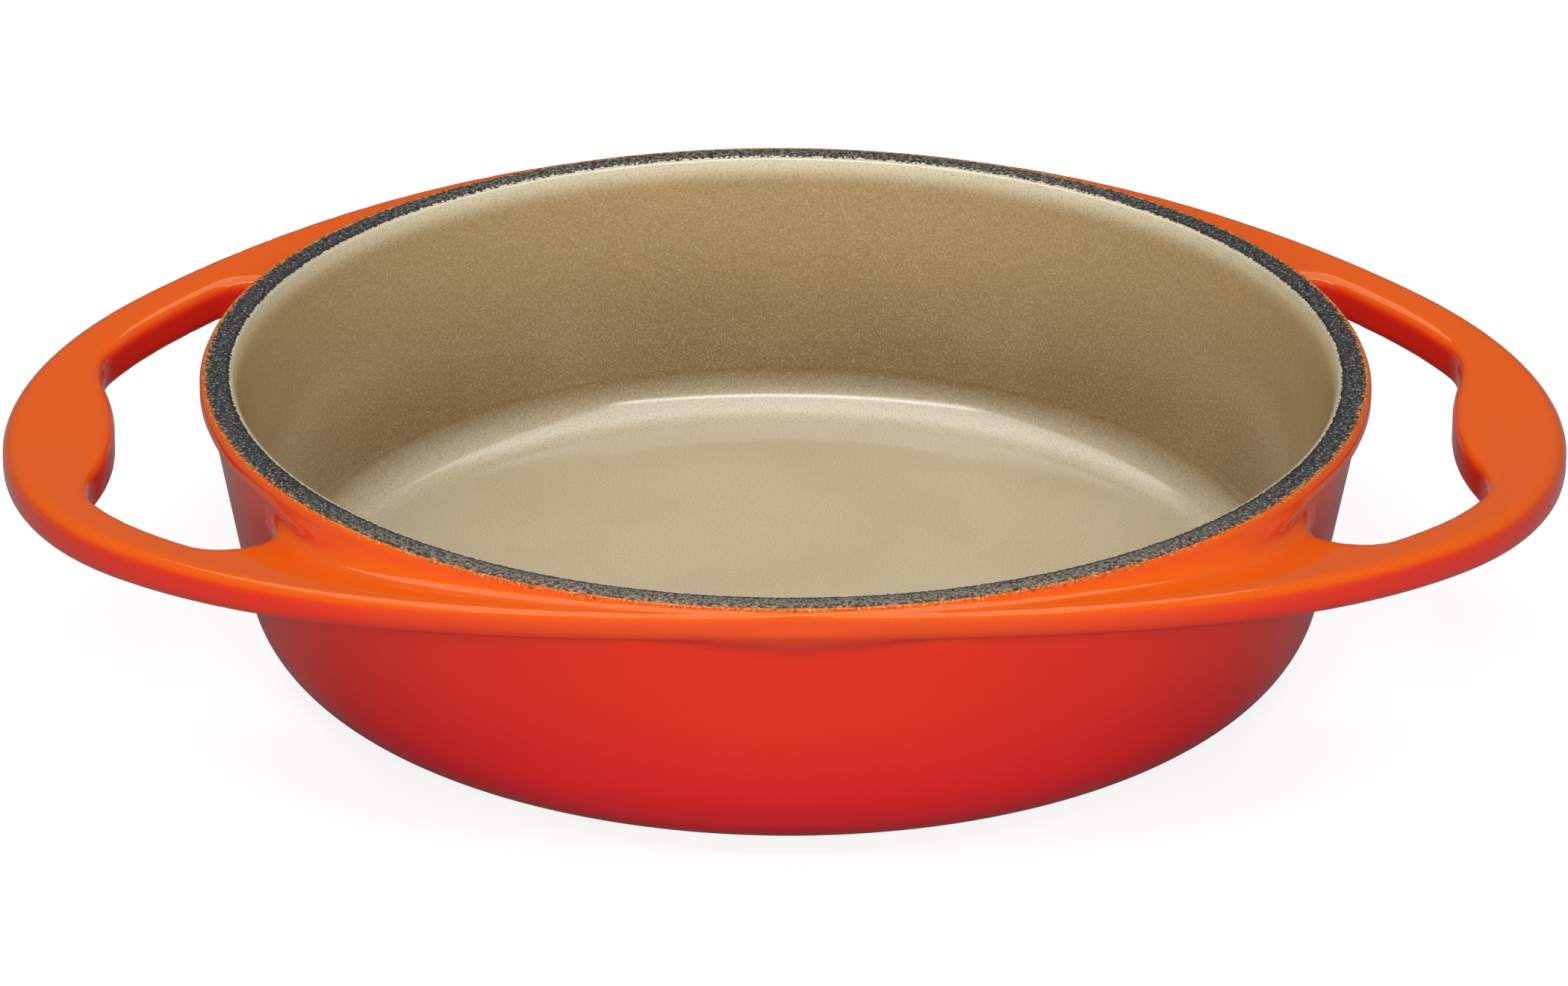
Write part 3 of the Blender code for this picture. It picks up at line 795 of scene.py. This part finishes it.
def dark_ground_enamel():
    """Bare ground coat: grainy near black, with a painted sheen that makes it paler at the front and the
    back, and with ragged sand and ochre edges.
    """
    made, tree, shader = finish("dark ground enamel", seen(70, 67, 66), 0.45, specular=0.4)
    place, x, y, _ = coordinates(tree)
    share = (radius_of(x, y) - RIM_INNER_RADIUS) / RIM_WIDTH
    lumps = noise(tree, place, 860.0, detail=3.0, roughness=0.75, shift=2.0)
    fine = noise(tree, place, 1500.0, detail=2.0, roughness=0.6, shift=6.0)
    torn = noise(tree, place, 620.0, detail=4.0, roughness=0.7, shift=3.0)
    front = (-1.0 * y).rise(55 * MILLIMETRE, 115 * MILLIMETRE)
    back = y.rise(70 * MILLIMETRE, 115 * MILLIMETRE)
    colour = mixed(tree, lumps.rise(0.42, 0.62), solid(25, 26, 29), solid(80, 78, 77))
    colour = mixed(tree, fine.rise(0.57, 0.64) * 0.85, colour, solid(166, 160, 152))
    # Painted sheen: paler lumps at the front and the back of the rim
    colour = mixed(tree, front * lumps.rise(0.34, 0.56) * 0.65, colour, solid(150, 140, 122))
    colour = mixed(tree, back * lumps.rise(0.44, 0.56) * 0.45, colour, solid(150, 144, 132))
    colour = mixed(tree, (1 - fine.rise(0.40, 0.47)) * 0.85, colour, solid(18, 17, 18))
    ragged = share + (torn - 0.5) * 0.42
    worn = noise(tree, place, 1250.0, detail=3.0, roughness=0.7, shift=8.0)
    chips = share + (worn - 0.5) * (back * 0.9 + 0.4) - back * 0.06
    colour = mixed(tree, (1 - ragged.rise(0.10, 0.26)) * 0.8, colour, solid(22, 20, 20))
    colour = mixed(tree, 1 - chips.rise(0.01, 0.05), colour, solid(222, 210, 180))
    ochre = mixed(tree, lumps.rise(0.49, 0.57), solid(58, 36, 22), solid(196, 140, 84))
    colour = mixed(tree, ragged.rise(0.90, 0.94), colour, ochre)
    dress(tree, shader, colour, lumps * 0.3 + 0.28, lumps + fine * 0.5, 0.16 * MILLIMETRE)
    return made


def dark_base_enamel():
    """Thin dark coat under the dish, dulled where the foot has been pushed over shelves."""
    made, tree, shader = finish("dark base enamel", seen(62, 50, 45), 0.4)
    place, x, y, _ = coordinates(tree)
    radius = radius_of(x, y)
    cloud = noise(tree, place, 60.0, detail=4.0, shift=0.9)
    colour = mixed(tree, cloud.rise(0.3, 0.7), solid(52, 41, 38), solid(74, 61, 54))
    foot_inner = OUTER_CORNER_CENTRE - FOOT_WIDTH
    foot = radius.rise(foot_inner - MILLIMETRE, foot_inner + MILLIMETRE)
    scuffs = noise(tree, place, 420.0, detail=4.0, shift=8.0).rise(0.52, 0.66) * foot
    colour = mixed(tree, scuffs * 0.5, colour, solid(112, 100, 92))
    seam = radius.rise(OUTER_CORNER_CENTRE + MILLIMETRE, BASE_SEAM_RADIUS)
    colour = mixed(tree, seam, colour, solid(150, 24, 26))
    pits = noise(tree, place, 500.0, detail=2.0, shift=2.8)
    dress(tree, shader, colour, cloud * 0.1 + scuffs * 0.3 + 0.28, pits, 0.02 * MILLIMETRE)
    return made


def dark_cast_iron():
    """Sand-cast iron, out of sight below the coats."""
    made, tree, shader = finish("dark cast iron", seen(70, 67, 66), 0.75, metallic=0.8)
    sand = noise(tree, coordinates(tree)[0], 900.0, detail=4.0, shift=5.5)
    colour = mixed(tree, sand, solid(56, 53, 52), solid(86, 82, 80))
    dress(tree, shader, colour, sand * 0.2 + 0.62, sand, 0.15 * MILLIMETRE)
    return made


# Studio


def area_light(name, location, target, size, power):
    """A rectangular lamp that faces its target."""
    data = bpy.data.lights.new(name, "AREA")
    data.shape = "RECTANGLE"
    data.size, data.size_y = size
    data.energy = power
    lamp = bpy.data.objects.new(name, data)
    bpy.context.collection.objects.link(lamp)
    lamp.location = location
    lamp.rotation_euler = (Vector(target) - Vector(location)).to_track_quat("-Z", "Y").to_euler()
    return lamp


def set_world():
    """Faint light all round, and plain white where the camera looks past the dish."""
    world = bpy.data.worlds.new("studio")
    bpy.context.scene.world = world
    world.use_nodes = True
    tree = world.node_tree
    tree.nodes.clear()
    soft = add_node(tree, "ShaderNodeBackground", None, {"Color": WHITE, "Strength": WORLD_LEVEL})
    plain = add_node(tree, "ShaderNodeBackground", None, {"Color": WHITE, "Strength": 1.0})
    ray = add_node(tree, "ShaderNodeLightPath")
    inputs = {0: ray.outputs["Is Camera Ray"], 1: soft.outputs[0], 2: plain.outputs[0]}
    mix = add_node(tree, "ShaderNodeMixShader", None, inputs)
    add_node(tree, "ShaderNodeOutputWorld", None, {"Surface": mix.outputs[0]})


def set_floor():
    """Pale floor that the camera sees as white, with the soft shadow of the dish left on it."""
    square = ((-1, -1), (1, -1), (1, 1), (-1, 1))
    corners = [(FLOOR_HALF * x, FLOOR_HALF * y, -FLOOR_DROP) for x, y in square]
    mesh = bpy.data.meshes.new("floor")
    mesh.from_pydata(corners, [], [(0, 1, 2, 3)])
    floor = bpy.data.objects.new("floor", mesh)
    bpy.context.collection.objects.link(floor)
    surface = bpy.data.materials.new("pale floor")
    surface.use_nodes = True
    tree = surface.node_tree
    tree.nodes.clear()
    lit = add_node(tree, "ShaderNodeBsdfDiffuse", None, {"Color": (*FLOOR_COLOUR, 1.0)})
    faint = add_node(tree, "ShaderNodeBsdfDiffuse", None, {"Color": (*SHADOW_SHARE, 1.0)})
    glow = add_node(tree, "ShaderNodeEmission", None, {"Color": WHITE, "Strength": WHITE_SHARE})
    seen_floor = add_node(tree, "ShaderNodeAddShader", None, {0: faint.outputs[0], 1: glow.outputs[0]})
    ray = add_node(tree, "ShaderNodeLightPath")
    inputs = {0: ray.outputs["Is Camera Ray"], 1: lit.outputs[0], 2: seen_floor.outputs[0]}
    mix = add_node(tree, "ShaderNodeMixShader", None, inputs)
    add_node(tree, "ShaderNodeOutputMaterial", None, {"Surface": mix.outputs[0]})
    mesh.materials.append(surface)


def set_camera():
    """Camera two metres off, looking down at the dish, turned a little as in the photograph."""
    data = bpy.data.cameras.new("camera")
    data.sensor_width = CAMERA_SENSOR
    data.lens = CAMERA_LENS
    camera = bpy.data.objects.new("camera", data)
    bpy.context.collection.objects.link(camera)
    look = (CAMERA_AIM - CAMERA_PLACE).to_track_quat("-Z", "Y").to_matrix().to_4x4()
    camera.matrix_world = Matrix.Translation(CAMERA_PLACE) @ look @ Matrix.Rotation(CAMERA_ROLL, 4, "Z")
    bpy.context.scene.camera = camera


# The whole picture

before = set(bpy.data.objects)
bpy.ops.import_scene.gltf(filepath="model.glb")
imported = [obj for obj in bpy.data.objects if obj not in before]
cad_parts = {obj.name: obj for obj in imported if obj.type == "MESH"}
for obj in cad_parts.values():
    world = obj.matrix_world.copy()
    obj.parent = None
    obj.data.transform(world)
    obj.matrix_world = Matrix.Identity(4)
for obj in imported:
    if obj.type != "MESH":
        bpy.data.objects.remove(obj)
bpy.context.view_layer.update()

coats = [
    (outside_coat(orange_gloss_enamel()), "exterior_enamel", "orange gloss enamel"),
    (inside_coat(sand_satin_enamel()), "interior_enamel", "sand satin enamel"),
    (rim_coat(dark_ground_enamel()), "rim_ground_coat", "dark ground enamel"),
    (underside_coat(dark_base_enamel()), "base_enamel", "dark base enamel"),
]
for piece, node, slot in coats:
    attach(piece, "root")
    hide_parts(node)

# The iron keeps its shape from model.glb
casting = bpy.data.objects["iron_casting"]
casting.data.materials.clear()
casting.data.materials.append(dark_cast_iron())

set_floor()
set_world()
area_light("overhead softbox", (-0.10, 0.26, 1.60), (0.0, 0.26, 0.03), size=(2.2, 2.1), power=22.0)
area_light("overhead strip", (-0.05, -0.62, 1.50), DISH_MIDDLE, size=(1.9, 0.16), power=4.2)
# The front softbox lights the dish and isn't mirrored in it
front_light = area_light("front softbox", (0.0, -2.6, 0.85), DISH_MIDDLE, size=(3.6, 1.6), power=69.0)
front_light.visible_glossy = False
set_camera()
bpy.context.scene.view_settings.view_transform = "Standard"
